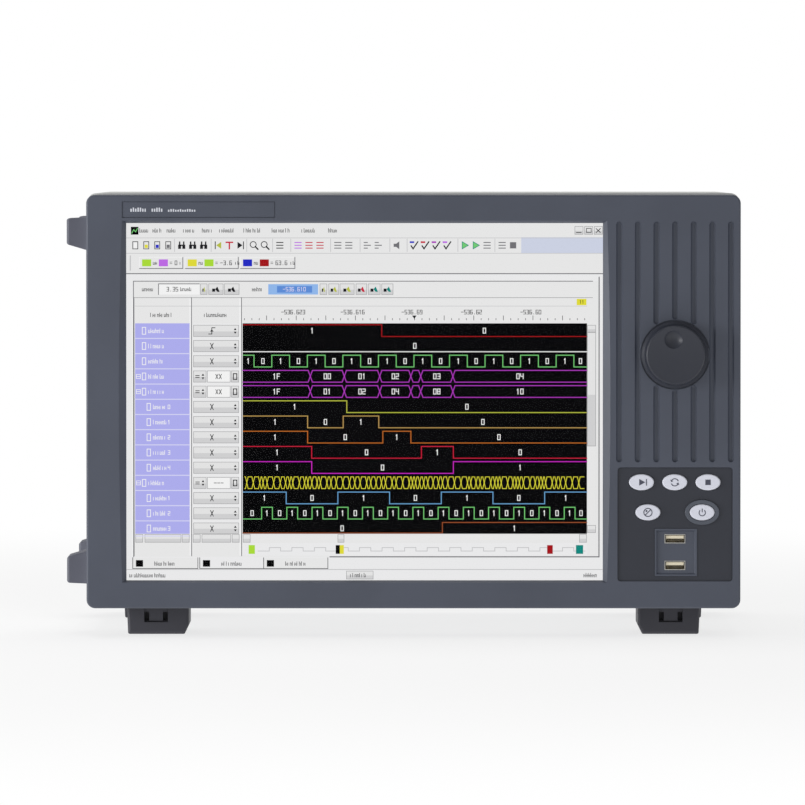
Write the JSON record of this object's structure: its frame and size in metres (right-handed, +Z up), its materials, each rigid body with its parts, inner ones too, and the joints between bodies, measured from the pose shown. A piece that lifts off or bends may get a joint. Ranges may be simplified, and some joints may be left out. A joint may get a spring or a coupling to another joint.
{
  "type": "logic analyzer",
  "caption": "Bench logic analyzer with a touch display, selector knob, oval keys, USB sockets, flip-out tilt legs, recessed carry handle and rear probe connectors.",
  "frame": {"origin": "on the bench, under the middle of the instrument's overall box", "axes": "+Z up, front and display towards -Y, carry handle on +X"},
  "size_m": [0.4318, 0.33, 0.2832],
  "materials": {
    "bezel_plastic": "fine texture",
    "cabinet_paint": "fine texture",
    "dark_plastic": "fine texture",
    "key_plastic": "satin",
    "collar_plastic": "satin",
    "knob_plastic": "satin",
    "foot_plastic": "fine texture",
    "side_foot_plastic": "fine texture",
    "black_plastic": "satin",
    "soft_rubber": "matt",
    "glass": "anti-glare",
    "display": "lit picture",
    "zinc_sheet": "zinc plated",
    "bright_steel": "bright",
    "aluminium": "machined",
    "circuit": "solder mask",
    "cream_plastic": "satin",
    "nickel": "nickel plated"
  },
  "bodies": {
    "cabinet": {"acquisition_board": "circuit", "acquisition_heatsinks": "aluminium", "backlight_inverter": "circuit", "base_tray": "zinc_sheet", "bezel_screws": "bright_steel", "board_standoffs": "bright_steel", "cabinet_cover": "cabinet_paint", "control_board": "circuit", "data_ports": "nickel", "disc_drive": "zinc_sheet", "display_gasket": "soft_rubber", "drive_rack": "zinc_sheet", "fan_frames": "black_plastic", "fan_guards": "bright_steel", "front_bezel": "bezel_plastic", "front_deck": "zinc_sheet", "front_usb_shells": "nickel", "front_usb_tongues": "cream_plastic", "handle_pins": "bright_steel", "handle_pocket": "bezel_plastic", "hard_drive": "aluminium", "key_switches": "black_plastic", "keypad_panel": "dark_plastic", "knob_encoder": "zinc_sheet", "lan_port": "nickel", "lcd_cell": "display", "lcd_frame": "zinc_sheet", "left_front_foot": "foot_plastic", "mains_inlet": "black_plastic", "name_plate": "bezel_plastic", "pod_connector_shells": "black_plastic", "pod_connector_tongues": "cream_plastic", "pod_jackscrews": "bright_steel", "power_collar": "collar_plastic", "power_supply": "zinc_sheet", "processor_cooler": "aluminium", "rear_bumpers": "soft_rubber", "rear_feet": "foot_plastic", "rear_panel": "zinc_sheet", "rear_screws": "bright_steel", "rear_usb_ports": "nickel", "right_front_foot": "foot_plastic", "side_feet": "side_foot_plastic", "system_board": "circuit", "touch_glass": "glass", "trigger_connectors": "nickel"},
    "knob": {"selector_knob": "knob_plastic", "knob_shaft": "bright_steel"},
    "run_single_key": {"run_single_button": "key_plastic"},
    "run_repeat_key": {"run_repeat_button": "key_plastic"},
    "stop_key": {"stop_button": "key_plastic"},
    "touch_off_key": {"touch_off_button": "key_plastic"},
    "power_key": {"power_button": "key_plastic"},
    "left_leg": {"left_tilt_leg": "foot_plastic"},
    "right_leg": {"right_tilt_leg": "foot_plastic"},
    "left_rotor": {"left_fan_rotor": "black_plastic"},
    "right_rotor": {"right_fan_rotor": "black_plastic"},
    "tray": {"disc_tray": "black_plastic"},
    "eject_key": {"disc_eject_button": "black_plastic"},
    "handle": {"carry_handle": "dark_plastic"}
  },
  "joints": [
    {"name": "knob_spin", "type": "hinge", "parent": "cabinet", "child": "knob", "pos_m": [0.17355, -0.151, 0.1804], "axis": [0, 1, 0], "continuous": true},
    {"name": "run_single_press", "type": "slide", "parent": "cabinet", "child": "run_single_key", "axis": [0, 1, 0], "range_m": [0, 0.001], "stiffness_N_per_m": 1200, "springref_m": -0.0005},
    {"name": "run_repeat_press", "type": "slide", "parent": "cabinet", "child": "run_repeat_key", "axis": [0, 1, 0], "range_m": [0, 0.001], "stiffness_N_per_m": 1200, "springref_m": -0.0005},
    {"name": "stop_press", "type": "slide", "parent": "cabinet", "child": "stop_key", "axis": [0, 1, 0], "range_m": [0, 0.001], "stiffness_N_per_m": 1200, "springref_m": -0.0005},
    {"name": "touch_off_press", "type": "slide", "parent": "cabinet", "child": "touch_off_key", "axis": [0, 1, 0], "range_m": [0, 0.001], "stiffness_N_per_m": 1200, "springref_m": -0.0005},
    {"name": "power_press", "type": "slide", "parent": "cabinet", "child": "power_key", "axis": [0, 1, 0], "range_m": [0, 0.001], "stiffness_N_per_m": 1200, "springref_m": -0.0005},
    {"name": "left_leg_tilt", "type": "hinge", "parent": "cabinet", "child": "left_leg", "pos_m": [-0.15765, -0.1045, 0.0046], "axis": [-1, 0, 0], "range_deg": [0, 95]},
    {"name": "right_leg_tilt", "type": "hinge", "parent": "cabinet", "child": "right_leg", "pos_m": [0.17115, -0.1045, 0.0046], "axis": [-1, 0, 0], "range_deg": [0, 95]},
    {"name": "left_fan_spin", "type": "hinge", "parent": "cabinet", "child": "left_rotor", "pos_m": [-0.11325, 0.135, 0.222], "axis": [0, 1, 0], "continuous": true},
    {"name": "right_fan_spin", "type": "hinge", "parent": "cabinet", "child": "right_rotor", "pos_m": [-0.01725, 0.135, 0.222], "axis": [0, 1, 0], "continuous": true},
    {"name": "tray_slide", "type": "slide", "parent": "cabinet", "child": "tray", "axis": [1, 0, 0], "range_m": [0, 0.11]},
    {"name": "eject_press", "type": "slide", "parent": "tray", "child": "eject_key", "axis": [-1, 0, 0], "range_m": [0, 0.0008], "stiffness_N_per_m": 800, "springref_m": -0.0005},
    {"name": "handle_swing", "type": "hinge", "parent": "cabinet", "child": "handle", "pos_m": [0.20625, 0.018, 0.171], "axis": [0, -1, 0], "range_deg": [0, 90]}
  ]
}
